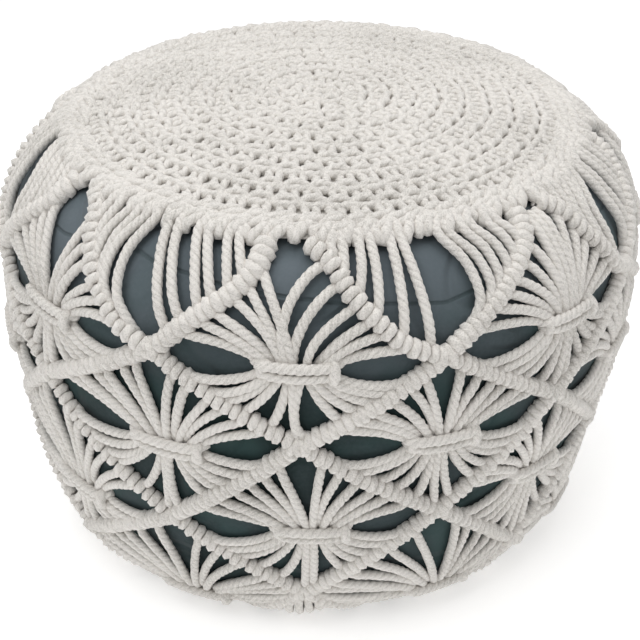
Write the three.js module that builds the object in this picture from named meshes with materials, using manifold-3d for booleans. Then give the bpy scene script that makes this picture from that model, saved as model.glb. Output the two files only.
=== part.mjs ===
// A round pouf: a filled cloth cushion inside a hand-knotted cotton cover.
// The cover is a crocheted disc on top and a macrame net of diamonds that wraps the side
// and turns in under the base. Millimetres, +Z up, origin at the middle of the base.
import * as THREE from 'three';
import Module from 'manifold-3d';

const wasm = await Module();
wasm.setup();

// Driving sizes
const WAIST_RADIUS = 250;
const RIM_RADIUS = 200;
const RIM_HEIGHT = 326;
const BASE_RING_RADIUS = 152;
const DOME_RISE = 14;
const CORD = 6;
const BAR_PROUD = 2.5;
const SEAT_GAP = 0.4;

// The hand-made pouf is a little oval and leans down towards one side of its front.
const OVAL = 0.02;
const OVAL_TURN = THREE.MathUtils.degToRad(-36);
const SLOPE = 6.5;
const SLOPE_TURN = THREE.MathUtils.degToRad(49);

// Outer face of the net, from the rim down the side and in under the base.
const NET_PROFILE = [
  { radius: RIM_RADIUS, height: RIM_HEIGHT },
  { radius: 219, height: 312 },
  { radius: 241, height: 282 },
  { radius: WAIST_RADIUS, height: 231 },
  { radius: WAIST_RADIUS, height: 172 },
  { radius: 242, height: 116 },
  { radius: 231, height: 66 },
  { radius: 219, height: 33 },
  { radius: 202, height: 12 },
  { radius: 184, height: 2.5 },
  { radius: 168, height: 0 },
  { radius: BASE_RING_RADIUS, height: 0 },
  { radius: 138, height: 0 },
];

// The lattice: eight repeats round, its first crossing a little left of the front.
const REPEATS = 8;
const HALF_PITCH = 360 / REPEATS / 2;
const FIRST_TURN = -4.5;

// Rows of crossings, by height on the side. The last one lies under the base.
const CROSSING_ROWS = [
  { height: 317 },
  { height: 256 },
  { height: 198 },
  { height: 118 },
  { height: 47 },
  { radius: 161 },
];

// Rows of square knots: their height, the steps of the upper and lower bars that their outer and inner
// bundles of strands are knotted to, and the bends that a bundle needs to follow the side.
const KNOT_ROWS = [
  { height: 255, up: { outer: 3, inner: 1 }, down: { outer: 2, inner: 4 }, bendUp: 1, bendDown: 0 },
  { height: 187, up: { outer: 3, inner: 1 }, down: { outer: 2, inner: 4 }, bendUp: 0, bendDown: 0 },
  { height: 112, up: { outer: 3, inner: 1 }, down: { outer: 2, inner: 4 }, bendUp: 0, bendDown: 1 },
  { height: 27, up: { outer: 3, inner: 1 }, down: { inner: 3 }, bendUp: 1, bendDown: 2 },
];

// Knots and crossings pulled off their even places: degrees round, millimetres up.
const PULLED = [
  { what: 'crossing', row: 0, step: -2, turn: -1.2, rise: 1 },
  { what: 'crossing', row: 0, step: 0, turn: -1.3, rise: 0 },
  { what: 'crossing', row: 0, step: 2, turn: 3.0, rise: 0 },
  { what: 'crossing', row: 1, step: -1, turn: 0.8, rise: 0 },
  { what: 'crossing', row: 1, step: 1, turn: 0.5, rise: 2 },
  { what: 'crossing', row: 2, step: 0, turn: 1.0, rise: 1 },
  { what: 'crossing', row: 3, step: -1, turn: 1.6, rise: -3 },
  { what: 'crossing', row: 3, step: 1, turn: 1.3, rise: 7 },
  { what: 'crossing', row: 4, step: 0, turn: 1.1, rise: 1 },
  { what: 'knot', row: 0, step: -2, turn: 1.4, rise: -3 },
  { what: 'knot', row: 0, step: 0, turn: 0.5, rise: 1 },
  { what: 'knot', row: 0, step: 2, turn: 2.6, rise: 0 },
  { what: 'knot', row: 1, step: -1, turn: 2.7, rise: -2 },
  { what: 'knot', row: 1, step: 1, turn: 0.3, rise: 6 },
  { what: 'knot', row: 2, step: -2, turn: 3.0, rise: -11 },
  { what: 'knot', row: 2, step: 0, turn: 2.3, rise: 6 },
  { what: 'knot', row: 2, step: 2, turn: -0.3, rise: 14 },
  { what: 'knot', row: 3, step: -1, turn: 1.7, rise: -1 },
  { what: 'knot', row: 3, step: 1, turn: 5.0, rise: 1 },
];

// A point at a radius, a turn from the front towards +X, and a height, with the pouf's own lean.
function place(radius, turn, height) {
  const oval = 1 + OVAL * Math.cos(2 * (turn - OVAL_TURN));
  const risen = (height / RIM_HEIGHT) ** 2;
  const slope = SLOPE * (radius / RIM_RADIUS) * Math.cos(turn - SLOPE_TURN) * risen;
  return new THREE.Vector3(
    radius * oval * Math.sin(turn),
    -radius * oval * Math.cos(turn),
    Math.max(0, height - slope),
  );
}

const profileCurve = new THREE.SplineCurve(
  NET_PROFILE.map((point) => new THREE.Vector2(point.radius, point.height)),
);
profileCurve.arcLengthDivisions = 600;
const PROFILE_LENGTH = profileCurve.getLength();

function profileAt(drop) {
  return profileCurve.getPointAt(THREE.MathUtils.clamp(drop / PROFILE_LENGTH, 0, 1));
}

// How far down the profile a row lies, from its height on the side or its radius under the base.
function dropOf(row) {
  let low = 0;
  let high = PROFILE_LENGTH;
  for (let halving = 0; halving < 30; halving++) {
    const middle = (low + high) / 2;
    const point = profileAt(middle);
    const onSide = point.y > 20;
    const before = row.radius ? onSide || point.x > row.radius : point.y > row.height;
    if (before) low = middle;
    else high = middle;
  }
  return low;
}

// Radius and height of what lies some millimetres out from the face of the net, at a drop from the rim.
// What stands proud on the side is drawn in under the base, so that all of it rests level.
function outFromFace(drop, out) {
  const point = profileAt(drop);
  const tangent = profileCurve.getTangentAt(THREE.MathUtils.clamp(drop / PROFILE_LENGTH, 0, 1));
  const underneath = 1 - THREE.MathUtils.smoothstep(point.y, 4, 34);
  const depth = out - BAR_PROUD * underneath;
  return { radius: point.x - tangent.y * depth, height: point.y + tangent.x * depth };
}

function onNet(spot, out) {
  const { radius, height } = outFromFace(spot.drop, out);
  return place(radius, spot.turn, height);
}

// Moves a spot on the net by millimetres to the right and up.
function moved(spot, right, up) {
  return { turn: spot.turn + right / profileAt(spot.drop).x, drop: spot.drop - up };
}

// The turn from one spot to another, the short way round.
function turnBetween(from, to) {
  return THREE.MathUtils.euclideanModulo(to.turn - from.turn + Math.PI, 2 * Math.PI) - Math.PI;
}

function between(from, to, share) {
  return {
    turn: from.turn + turnBetween(from, to) * share,
    drop: from.drop + (to.drop - from.drop) * share,
  };
}

// Millimetres right and up from one spot on the net to another.
function heading(from, to) {
  const radius = profileAt((from.drop + to.drop) / 2).x;
  return new THREE.Vector2(turnBetween(from, to) * radius, from.drop - to.drop);
}

// The place of a crossing or knot: by its row, and its half-pitches round from the front.
function latticeSpot(what, row, step) {
  const rows = what === 'crossing' ? CROSSING_ROWS : KNOT_ROWS;
  const home = step - Math.round(step / (2 * REPEATS)) * 2 * REPEATS;
  const known = PULLED.find((pull) => pull.what === what && pull.row === row && pull.step === home);
  const wander = {
    turn: Math.abs(home) > 2 ? 1.3 * Math.sin(2.3 * home + 1.7 * row) : 0,
    rise: Math.abs(home) > 2 ? 3 * Math.sin(1.9 * home + 2.6 * row + 1) : 0,
  };
  const pull = known ?? wander;
  const underBase = rows[row].radius !== undefined;
  return {
    turn: THREE.MathUtils.degToRad(FIRST_TURN + HALF_PITCH * step + pull.turn),
    drop: dropOf(rows[row]) - (underBase ? 0 : pull.rise),
  };
}

// Collects points and triangles of one closed piece, then hands them over as a solid.
class Piece {
  points = [];
  faces = [];

  point(vector) {
    this.points.push(vector);
    return this.points.length - 1;
  }

  face(...corners) {
    for (let corner = 1; corner < corners.length - 1; corner++) {
      this.faces.push(corners[0], corners[corner], corners[corner + 1]);
    }
  }

  // Skin from one ring of points to the next one along the piece.
  bridge(ring, next) {
    ring.forEach((point, side) => {
      const beside = (side + 1) % ring.length;
      this.face(point, ring[beside], next[beside], next[side]);
    });
  }

  solid() {
    return new wasm.Manifold(new wasm.Mesh({
      numProp: 3,
      vertProperties: new Float32Array(this.points.flatMap((vector) => vector.toArray())),
      triVerts: new Uint32Array(this.faces),
    }));
  }
}

// A piece that lies on the net and remembers the spot of each of its points.
class NetPiece extends Piece {
  spots = [];

  at(spot, out) {
    this.spots.push({ ...spot, out });
    return this.point(onNet(spot, out));
  }

  // A run of rings from one ring to another, each part of the way along, pushed sideways by a bow.
  run(ring, last, bends, bow = 0) {
    let from = ring;
    for (let bend = 1; bend <= bends; bend++) {
      const share = bend / (bends + 1);
      const next = ring.map((point, side) => {
        const start = this.spots[point];
        const end = this.spots[last[side]];
        const spot = moved(between(start, end, share), bow * Math.sin(Math.PI * share), 0);
        return this.at(spot, start.out + (end.out - start.out) * share);
      });
      this.bridge(from, next);
      from = next;
    }
    this.bridge(from, last);
  }
}

// Bars of half hitches. A section lists its points from the top right round to the top left,
// as seen along the bar: millimetres right and out. It is full at a knot and drawn in between knots.
const BAR_FOOT = 7.4;
const BAR_BACK = -7.5;
const barSection = (full) => [
  [full ? 3.6 : 2.4, full ? BAR_PROUD : 0.8],
  [full ? BAR_FOOT : BAR_FOOT - 1.4, BAR_BACK],
  [full ? -BAR_FOOT : 1.4 - BAR_FOOT, BAR_BACK],
  [full ? -3.6 : -2.4, full ? BAR_PROUD : 0.8],
];
const BAR_STEPS = 6;
const SOCKET_OUT = -1.6;

// A crossing of two bars: a bead with a corner between each two of its four arms.
const CROSSING_CORNERS = {
  north: { right: 0, up: 1 },
  east: { right: 1, up: 0 },
  south: { right: 0, up: -1 },
  west: { right: -1, up: 0 },
};
const CORNER_REACH = { top: { right: 6.2, up: 4.6 }, foot: { right: 11.5, up: 8.6 } };
const ARMS = {
  northEast: ['east', 'north'],
  northWest: ['north', 'west'],
  southEast: ['south', 'east'],
  southWest: ['west', 'south'],
};

class Crossing {
  constructor(net, row, step) {
    this.net = net;
    this.spot = latticeSpot('crossing', row, step);
    this.corners = {};
    for (const [name, way] of Object.entries(CROSSING_CORNERS)) {
      this.corners[name] = {};
      for (const level of ['top', 'foot']) {
        const reach = CORNER_REACH[level];
        const spot = moved(this.spot, way.right * reach.right, way.up * reach.up);
        this.corners[name][level] = net.at(spot, level === 'top' ? BAR_PROUD : BAR_BACK);
      }
    }
    const bead = net.at(this.spot, BAR_PROUD + 1);
    const { north, east, south, west } = this.corners;
    const around = [north, west, south, east];
    around.forEach((corner, index) => net.face(corner.top, around[(index + 1) % 4].top, bead));
    net.face(north.foot, east.foot, south.foot, west.foot);
    const open = Object.keys(ARMS).filter((arm) => (
      arm.startsWith('north') ? row > 0 : row < CROSSING_ROWS.length - 1
    ));
    for (const arm of Object.keys(ARMS)) if (!open.includes(arm)) net.face(...this.arm(arm));
  }

  // The ring of four points where an arm leaves, seen outwards along the arm.
  arm(name) {
    const [right, left] = ARMS[name].map((corner) => this.corners[corner]);
    return [right.top, right.foot, left.foot, left.top];
  }
}

// A bar from an upper crossing down to a lower one. Strands are knotted into sockets on its two sides.
class Bar {
  constructor(net, upper, lower, toRight) {
    this.net = net;
    this.sockets = { right: {}, left: {} };
    const start = upper.arm(toRight ? 'southEast' : 'southWest');
    const arrival = lower.arm(toRight ? 'northWest' : 'northEast');
    const end = [arrival[3], arrival[2], arrival[1], arrival[0]];
    const ahead = heading(upper.spot, lower.spot).normalize();
    this.rings = [start];
    for (let step = 1; step < BAR_STEPS; step++) {
      const spot = between(upper.spot, lower.spot, step / BAR_STEPS);
      this.rings.push(ringAt(net, spot, ahead, barSection(step % 2 === 0)));
    }
    this.rings.push(end);
  }

  // Opens one side of the bar between two steps and gives the ring that a bundle of strands joins.
  socket(side, step) {
    const [top, foot] = side === 'right' ? [0, 1] : [3, 2];
    const near = this.rings[step];
    const far = this.rings[step + 1];
    const spots = [near[top], near[foot], far[top], far[foot]].map((point) => this.net.spots[point]);
    const middle = between(between(spots[0], spots[1], 0.4), between(spots[2], spots[3], 0.4), 0.5);
    const crown = this.net.at(middle, SOCKET_OUT);
    this.sockets[side][step] = crown;
    return side === 'right' ? [crown, far[foot], near[foot]] : [crown, near[foot], far[foot]];
  }

  close() {
    for (let step = 0; step < BAR_STEPS; step++) {
      const near = this.rings[step];
      const far = this.rings[step + 1];
      this.net.face(near[1], near[2], far[2], far[1]);
      this.net.face(near[3], near[0], far[0], far[3]);
      this.closeSide([near[0], near[1], far[1], far[0]], this.sockets.right[step], 1);
      this.closeSide([near[2], near[3], far[3], far[2]], this.sockets.left[step], 3);
    }
  }

  // A plain side is one face. Round a socket's crown it is three, with the socket's foot left open.
  closeSide(corners, crown, openEdge) {
    if (crown === undefined) {
      this.net.face(...corners);
      return;
    }
    corners.forEach((corner, edge) => {
      if (edge !== openEdge) this.net.face(corner, corners[(edge + 1) % 4], crown);
    });
  }
}

function ringAt(net, spot, ahead, section) {
  const right = new THREE.Vector2(ahead.y, -ahead.x);
  return section.map(([across, out]) => net.at(moved(spot, right.x * across, right.y * across), out));
}

// A square knot: two cords across, which gather the fans of strands above and below them.
const KNOT_COLUMNS = [-24, -12, 0, 12, 24];
const KNOT_HALF_HEIGHT = 5;
const KNOT_CORD = 2.4;
const KNOT_SAG = 2;
const STRAND_TOP = -0.8;

function addFanKnot(net, bars, row, step) {
  const knot = KNOT_ROWS[row];
  const centre = latticeSpot('knot', row, step);
  const across = (up, out) => KNOT_COLUMNS.map((column) => {
    const sag = KNOT_SAG * ((column / KNOT_COLUMNS[0]) ** 2 - 0.5);
    return net.at(moved(centre, column, up + sag), out);
  });
  const low = across(-KNOT_HALF_HEIGHT, -CORD);
  const cordBelow = across(-KNOT_CORD, 1.2);
  const cordAbove = across(KNOT_CORD, 1.2);
  const high = across(KNOT_HALF_HEIGHT, -CORD);
  const last = KNOT_COLUMNS.length - 1;
  for (let column = 0; column < last; column++) {
    net.face(cordBelow[column], cordBelow[column + 1], cordAbove[column + 1], cordAbove[column]);
    net.face(low[column], high[column], high[column + 1], low[column + 1]);
  }
  net.face(low[0], cordBelow[0], cordAbove[0], high[0]);
  net.face(low[last], high[last], cordAbove[last], cordBelow[last]);

  // The outer bundles of a fan reach the bars near the side crossings, the inner ones near its point.
  const fan = (side, cords, edge, bundles, bends) => {
    for (let bundle = 0; bundle < last; bundle++) {
      const crownSpot = moved(centre, (KNOT_COLUMNS[bundle] + KNOT_COLUMNS[bundle + 1]) / 2, side * 4);
      const crown = net.at(crownSpot, STRAND_TOP);
      const [right, left] = side > 0 ? [bundle + 1, bundle] : [bundle, bundle + 1];
      net.face(cords[left], cords[right], crown);
      net.face(cords[left], crown, edge[left]);
      net.face(cords[right], edge[right], crown);
      const root = [crown, edge[right], edge[left]];
      const goal = bundles[bundle];
      if (goal) net.run(root, goal.bar.socket(goal.side, goal.step), bends);
      else net.face(...root);
    }
  };
  const upperLeft = bars(row, step, 'left');
  const upperRight = bars(row, step, 'right');
  const lowerLeft = bars(row + 1, step - 1, 'right');
  const lowerRight = bars(row + 1, step + 1, 'left');
  const bundlesOf = (left, right, steps) => [
    steps.outer === undefined ? null : { bar: left, side: 'left', step: steps.outer },
    { bar: left, side: 'left', step: steps.inner },
    { bar: right, side: 'right', step: steps.inner },
    steps.outer === undefined ? null : { bar: right, side: 'right', step: steps.outer },
  ];
  fan(1, cordAbove, high, bundlesOf(upperLeft, upperRight, knot.up), knot.bendUp);
  fan(-1, cordBelow, low, bundlesOf(lowerLeft, lowerRight, knot.down), knot.bendDown);
}

// Pairs of strands in one triangle under the rim: where each starts between the two points of the bars,
// the step of the bar that it is knotted to, and how far it bows to the right.
const HANGING_PAIRS = [
  { bar: 'left', rim: 0.18, step: 1, bow: 0 },
  { bar: 'left', rim: 0.33, step: 4, bow: -7 },
  { bar: 'right', rim: 0.6, step: 4, bow: 6 },
  { bar: 'right', rim: 0.74, step: 3, bow: 4 },
  { bar: 'right', rim: 0.86, step: 1, bow: 1 },
];
const RIM_RING_DROP = 7;
const PAIR_HALF_WIDTH = 4.8;

function addHangingPairs(net, bars, step) {
  const leftBar = bars(0, step - 1, 'right');
  const rightBar = bars(0, step + 1, 'left');
  const leftPoint = latticeSpot('crossing', 0, step - 1);
  const rightPoint = latticeSpot('crossing', 0, step + 1);
  for (const pair of HANGING_PAIRS) {
    const top = { turn: between(leftPoint, rightPoint, pair.rim).turn, drop: RIM_RING_DROP };
    const root = [[0, STRAND_TOP], [-PAIR_HALF_WIDTH, -CORD], [PAIR_HALF_WIDTH, -CORD]]
      .map(([right, out]) => net.at(moved(top, right, 0), out));
    const bar = pair.bar === 'left' ? leftBar : rightBar;
    net.face(...[...root].reverse());
    net.run(root, bar.socket(pair.bar, pair.step), 2, pair.bow);
  }
}

// Level rings: the row of knots that mounts the cords at the rim, and the cord that ends the net.
const RIM_KNOTS = 56;
const BASE_RING_SIDES = 40;

function levelRing(count, drop) {
  const piece = new NetPiece();
  const rings = Array.from({ length: count }, (_, index) => {
    const spot = { turn: index * 2 * Math.PI / count, drop };
    const full = index % 2 === 0;
    return ringAt(piece, spot, new THREE.Vector2(1, 0), [
      [0, full ? BAR_PROUD : 0.6],
      [full ? 6 : 5, BAR_BACK],
      [full ? -6 : -5, BAR_BACK],
    ]);
  });
  rings.forEach((ring, index) => piece.bridge(ring, rings[(index + 1) % count]));
  return piece.solid();
}

function makeNet() {
  const net = new NetPiece();
  const around = 2 * REPEATS;
  const crossings = new Map();
  const crossingAt = (row, step) => crossings.get(`${row} ${(step + around) % around}`);
  for (let row = 0; row < CROSSING_ROWS.length; row++) {
    for (let step = row % 2; step < around; step += 2) {
      crossings.set(`${row} ${step}`, new Crossing(net, row, step));
    }
  }
  const allBars = new Map();
  for (let row = 0; row < CROSSING_ROWS.length - 1; row++) {
    for (let step = row % 2; step < around; step += 2) {
      const upper = crossingAt(row, step);
      allBars.set(`${row} ${step} left`, new Bar(net, upper, crossingAt(row + 1, step - 1), false));
      allBars.set(`${row} ${step} right`, new Bar(net, upper, crossingAt(row + 1, step + 1), true));
    }
  }
  const bars = (row, step, way) => allBars.get(`${row} ${(step + around) % around} ${way}`);
  for (let row = 0; row < KNOT_ROWS.length; row++) {
    for (let step = row % 2; step < around; step += 2) addFanKnot(net, bars, row, step);
  }
  for (let step = 1; step < around; step += 2) addHangingPairs(net, bars, step);
  for (const bar of allBars.values()) bar.close();
  const rimRing = levelRing(2 * RIM_KNOTS, RIM_RING_DROP);
  const baseRing = levelRing(BASE_RING_SIDES, dropOf({ radius: BASE_RING_RADIUS }));
  return net.solid().add(rimRing).add(baseRing);
}

// Round pieces share these turns, so that faces that lie on each other stay the same gap apart.
const ROUND_SIDES = 48;

// A closed round piece from its outline, listed from the middle of the top to the middle of the base.
function roundPiece(outline) {
  const piece = new Piece();
  const rings = outline.map((point) => {
    if (point.radius === 0) return [piece.point(place(0, 0, point.height))];
    return Array.from({ length: ROUND_SIDES }, (_, side) => (
      piece.point(place(point.radius, side * 2 * Math.PI / ROUND_SIDES, point.height))
    ));
  });
  for (let index = 0; index < rings.length - 1; index++) {
    const upper = rings[index];
    const lower = rings[index + 1];
    for (let side = 0; side < ROUND_SIDES; side++) {
      const beside = (side + 1) % ROUND_SIDES;
      if (upper.length === 1) piece.face(upper[0], lower[side], lower[beside]);
      else if (lower.length === 1) piece.face(upper[side], lower[0], upper[beside]);
      else piece.face(upper[side], lower[side], lower[beside], upper[beside]);
    }
  }
  return piece.solid();
}

// The crocheted disc: rounds of double crochet, a ridge on each round and a furrow between rounds.
const CROCHET_ROUNDS = 10;
const CROCHET_THICKNESS = 7;
const CROCHET_RADIUS = 199;
const ROUND_RELIEF = 2.2;

function domeHeight(radius) {
  return RIM_HEIGHT + DOME_RISE * (1 - (radius / CROCHET_RADIUS) ** 2.6);
}

function makeCrochetTop() {
  const outline = [{ radius: 0, height: domeHeight(0) - ROUND_RELIEF }];
  const pitch = (CROCHET_RADIUS - 4) / CROCHET_ROUNDS;
  for (let round = 0; round < CROCHET_ROUNDS; round++) {
    const ridge = pitch * (round + 0.5);
    const furrow = pitch * (round + 1);
    outline.push({ radius: ridge, height: domeHeight(ridge) });
    outline.push({ radius: furrow, height: domeHeight(furrow) - ROUND_RELIEF });
  }
  outline.push({ radius: CROCHET_RADIUS, height: RIM_HEIGHT - 2.2 });
  outline.push({ radius: CROCHET_RADIUS - 1.5, height: RIM_HEIGHT - CROCHET_THICKNESS + 1 });
  for (const share of [0.86, 0.6, 0.3, 0]) {
    const radius = CROCHET_RADIUS * share;
    outline.push({ radius, height: domeHeight(radius) - CROCHET_THICKNESS });
  }
  return roundPiece(outline);
}

// The cushion fills the cover: its top lies under the crochet, its side a cord's depth inside the net,
// and its flat base comes down through the ring of the net to the floor.
const CUSHION_DEPTH = 9.3;
const CUSHION_STEPS = 15;
const CUSHION_FOOT_RADIUS = 138;

function makeCushion() {
  const outline = [0, 0.3, 0.6, 0.86].map((share) => {
    const radius = CROCHET_RADIUS * share;
    return { radius, height: domeHeight(radius) - CROCHET_THICKNESS - SEAT_GAP };
  });
  const firstDrop = 14;
  const lastDrop = dropOf({ radius: BASE_RING_RADIUS });
  for (let step = 0; step <= CUSHION_STEPS; step++) {
    const drop = firstDrop + (lastDrop - firstDrop) * step / CUSHION_STEPS;
    outline.push(outFromFace(drop, -CUSHION_DEPTH));
  }
  const step = outline[outline.length - 1].height;
  outline.push({ radius: CUSHION_FOOT_RADIUS + 4, height: step });
  outline.push({ radius: CUSHION_FOOT_RADIUS, height: 0 });
  outline.push({ radius: 0, height: 0 });
  return roundPiece(outline);
}

// Materials
const cotton = new THREE.MeshStandardMaterial({ color: '#dfdbd6', roughness: 0.95, metalness: 0 });
const slateCloth = new THREE.MeshStandardMaterial({ color: '#566367', roughness: 0.85, metalness: 0 });

function named(name, solid, material) {
  const { vertProperties, triVerts } = solid.getMesh();
  const geometry = new THREE.BufferGeometry();
  geometry.setAttribute('position', new THREE.BufferAttribute(vertProperties, 3));
  geometry.setIndex(new THREE.BufferAttribute(triVerts, 1));
  geometry.computeVertexNormals();
  const mesh = new THREE.Mesh(geometry, material);
  mesh.name = name;
  return mesh;
}

const pouf = new THREE.Group();
pouf.add(named('cushion', makeCushion(), slateCloth));
pouf.add(named('crochet_top', makeCrochetTop(), cotton));
pouf.add(named('macrame_net', makeNet(), cotton));

export default pouf;
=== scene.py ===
import math
import random

import bpy
import numpy as np
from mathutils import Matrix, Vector


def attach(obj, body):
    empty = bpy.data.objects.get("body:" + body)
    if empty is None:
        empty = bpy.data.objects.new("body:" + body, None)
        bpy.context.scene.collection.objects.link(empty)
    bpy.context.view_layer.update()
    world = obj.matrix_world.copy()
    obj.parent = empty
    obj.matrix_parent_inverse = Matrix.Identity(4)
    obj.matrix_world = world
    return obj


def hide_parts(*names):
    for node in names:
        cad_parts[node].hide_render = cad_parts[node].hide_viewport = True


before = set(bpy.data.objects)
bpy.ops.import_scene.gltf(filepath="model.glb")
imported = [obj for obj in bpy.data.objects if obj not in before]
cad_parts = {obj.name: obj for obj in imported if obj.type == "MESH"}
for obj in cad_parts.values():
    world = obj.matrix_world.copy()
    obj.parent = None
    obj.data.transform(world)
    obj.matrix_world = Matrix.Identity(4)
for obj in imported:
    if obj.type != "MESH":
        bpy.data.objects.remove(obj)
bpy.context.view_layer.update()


# The view: the pouf stands on a pale floor and is seen from in front and above, from about a metre away
# and through a short telephoto lens, so that both its top and the front of its net show.
CAMERA_PLACE = (-0.0025, -0.8646, 0.6663)
CAMERA_TARGET = (-0.0025, 0.0, 0.1398)
CAMERA_LENS_MM = 67.44
CAMERA_SENSOR_MM = 36
CAMERA_SEES_FROM = 0.05

bpy.ops.object.camera_add(location=CAMERA_PLACE)
camera = bpy.context.object
view_line = Vector(CAMERA_TARGET) - Vector(CAMERA_PLACE)
camera.rotation_euler = view_line.to_track_quat("-Z", "Y").to_euler()
camera.data.lens = CAMERA_LENS_MM
camera.data.sensor_width = CAMERA_SENSOR_MM
camera.data.clip_start = CAMERA_SEES_FROM
bpy.context.scene.camera = camera


# The cushion: a filled round of slate cloth that fills the cover and shows through its gaps.
# A side band and two discs are sewn together and stuffed. The net's cords hold it in, so that it
# swells a little in each gap, and the cloth is creased where they pull on it.
class Wire:
    """One output of a node of a finish. Sums and products of wires add their Math nodes."""

    def __init__(self, finish, socket):
        self.finish = finish
        self.socket = socket

    def maths(self, operation, *inputs):
        return self.finish.node("ShaderNodeMath", {"operation": operation}, dict(enumerate(inputs)))

    def __add__(self, other):
        return self.maths("ADD", self, other)

    def __sub__(self, other):
        return self.maths("SUBTRACT", self, other)

    def __rsub__(self, other):
        return self.maths("SUBTRACT", other, self)

    def __mul__(self, other):
        return self.maths("MULTIPLY", self, other)

    def __abs__(self):
        return self.maths("ABSOLUTE", self)

    def cosine(self):
        return self.maths("COSINE", self)

    __rmul__ = __mul__


class Finish:
    """A material that is put together from nodes."""

    def __init__(self, name):
        self.material = bpy.data.materials.new(name)
        self.material.use_nodes = True
        self.tree = self.material.node_tree
        self.tree.nodes.clear()

    def node(self, kind, settings, sockets, output=0):
        """Adds a node of a type: its settings first, then its sockets' values or links."""
        node = self.tree.nodes.new(kind)
        for name, value in settings.items():
            setattr(node, name, value)
        for name, value in sockets.items():
            socket = node.inputs[name]
            if isinstance(value, Wire):
                self.tree.links.new(value.socket, socket)
            else:
                socket.default_value = value
        return Wire(self, node.outputs[output])

    def noise(self, place, scale, detail=2.0, roughness=0.5):
        sockets = {"Vector": place, "Scale": scale, "Detail": detail, "Roughness": roughness}
        return self.node("ShaderNodeTexNoise", {}, sockets)

    def between(self, value, low, high):
        """0 below low, 1 above high, and smooth between them."""
        sockets = {"Value": value, "From Min": low, "From Max": high}
        return self.node("ShaderNodeMapRange", {"interpolation_type": "SMOOTHSTEP"}, sockets)

    def mix(self, factor, first, second):
        """A blend of two colours. The node's colour sockets share their names with others, so they are
        given by their places."""
        sockets = {"Factor": factor, 6: first, 7: second}
        return self.node("ShaderNodeMix", {"data_type": "RGBA"}, sockets, 2)

    def surface(self, sockets):
        """Ends the material in a shader with these sockets."""
        shader = self.node("ShaderNodeBsdfPrincipled", {}, sockets)
        end = self.tree.nodes.new("ShaderNodeOutputMaterial")
        self.tree.links.new(shader.socket, end.inputs["Surface"])
        return self.material


# The cloth's colours. Its grey is partly the cloth's own paler tone, and mostly painted light laid on between
# two heights near the top.
TEAL = (0.012, 0.026, 0.026, 1)
PALE_AND_LIT_GREY = (0.130, 0.156, 0.176, 1)
SEA_GREEN = (0.030, 0.066, 0.064, 1)
LIT_HEIGHTS = (0.215, 0.310)
SEAM_EDGES = (0.0004, 0.0016)
GATHERED_EDGES = (0.004, 0.030)


def slate_cloth():
    """Dark teal cloth with sea-green patches, gathered along its seam. Painted light turns it grey near the
    top, and painted shade darkens the seam.
    """
    finish = Finish("slate_cloth")
    at = finish.node("ShaderNodeTexCoord", {}, {}, "Object")
    cloud = finish.noise(at, scale=11, detail=3)
    slub = finish.noise(at, scale=420, detail=3)
    from_seam = abs(finish.node("ShaderNodeAttribute", {"attribute_name": "above_seam"}, {}, "Fac"))
    # Painted shade: a thin dark line along the seam, where the cloth sinks into it.
    seam = 1 - finish.between(from_seam, *SEAM_EDGES)
    gathered = 1 - finish.between(from_seam, *GATHERED_EDGES)
    drawn_down = finish.node("ShaderNodeMapping", {}, {"Vector": at, "Scale": (1, 1, 0.25)})
    creases = finish.noise(drawn_down, scale=26)
    folds = finish.node("ShaderNodeTexNoise", {}, {"Vector": at, "Scale": 13, "Detail": 1, "Distortion": 1.2})
    ridges = finish.between(abs(folds - 0.5), 0, 0.09)
    # Painted light: higher up, where the light falls on it, the cloth is mixed towards the grey.
    height = finish.node("ShaderNodeSeparateXYZ", {}, {"Vector": at}, "Z")
    lit_top = finish.between(height, *LIT_HEIGHTS)
    tone = 0.25 * finish.between(cloud + 0.25 * slub, 0.42, 0.82) + 0.75 * lit_top - 0.3 * seam
    patches = 0.6 * finish.between(finish.noise(at, scale=19), 0.44, 0.66) * (1 - 0.7 * lit_top)
    raised = 0.02 * slub - 0.5 * seam + 0.5 * creases * gathered + 0.9 * ridges
    relief = {"Strength": 0.55, "Distance": 0.004, "Height": raised}
    return finish.surface({
        "Base Color": finish.mix(patches, finish.mix(tone, TEAL, PALE_AND_LIT_GREY), SEA_GREEN),
        "Roughness": 0.85,
        "Specular IOR Level": 0.25,
        "Sheen Weight": 0.06,
        "Normal": finish.node("ShaderNodeBump", {}, relief),
    })


def copied_node(name, new_name):
    """A new piece that starts as a copy of a solid of the frame, with its corners joined."""
    bpy.ops.object.select_all(action="DESELECT")
    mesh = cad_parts[name].data.copy()
    mesh.materials.clear()
    piece = bpy.data.objects.new(new_name, mesh)
    bpy.context.scene.collection.objects.link(piece)
    bpy.context.view_layer.objects.active = piece
    piece.select_set(True)
    bpy.ops.object.mode_set(mode="EDIT")
    bpy.ops.mesh.select_all(action="SELECT")
    bpy.ops.mesh.remove_doubles(threshold=0.00005)
    bpy.ops.object.mode_set(mode="OBJECT")
    return piece


def apply_all(piece):
    bpy.ops.object.select_all(action="DESELECT")
    bpy.context.view_layer.objects.active = piece
    piece.select_set(True)
    for modifier in list(piece.modifiers):
        bpy.ops.object.modifier_apply(modifier=modifier.name)


def corners(piece):
    """The places of a piece's vertices, as rows."""
    flat = np.zeros(len(piece.data.vertices) * 3)
    piece.data.vertices.foreach_get("co", flat)
    return flat.reshape(-1, 3)


def move_corners(piece, places):
    piece.data.vertices.foreach_set("co", places.ravel())
    piece.data.update()


def outward(piece):
    """The directions that a piece's vertices face, as rows."""
    flat = np.zeros(len(piece.data.vertices) * 3)
    piece.data.vertex_normals.foreach_get("vector", flat)
    return flat.reshape(-1, 3)


# The cloth is shrunk and then blown up by its filling, no further than its swell.
CUSHION_MESH = 0.0078
CUSHION_SHRINK = 0.0025
CUSHION_SWELL = 0.003
CUSHION_PRESSURE = 4.0
CUSHION_QUALITY = 4
CUSHION_FRAMES = 20

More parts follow.
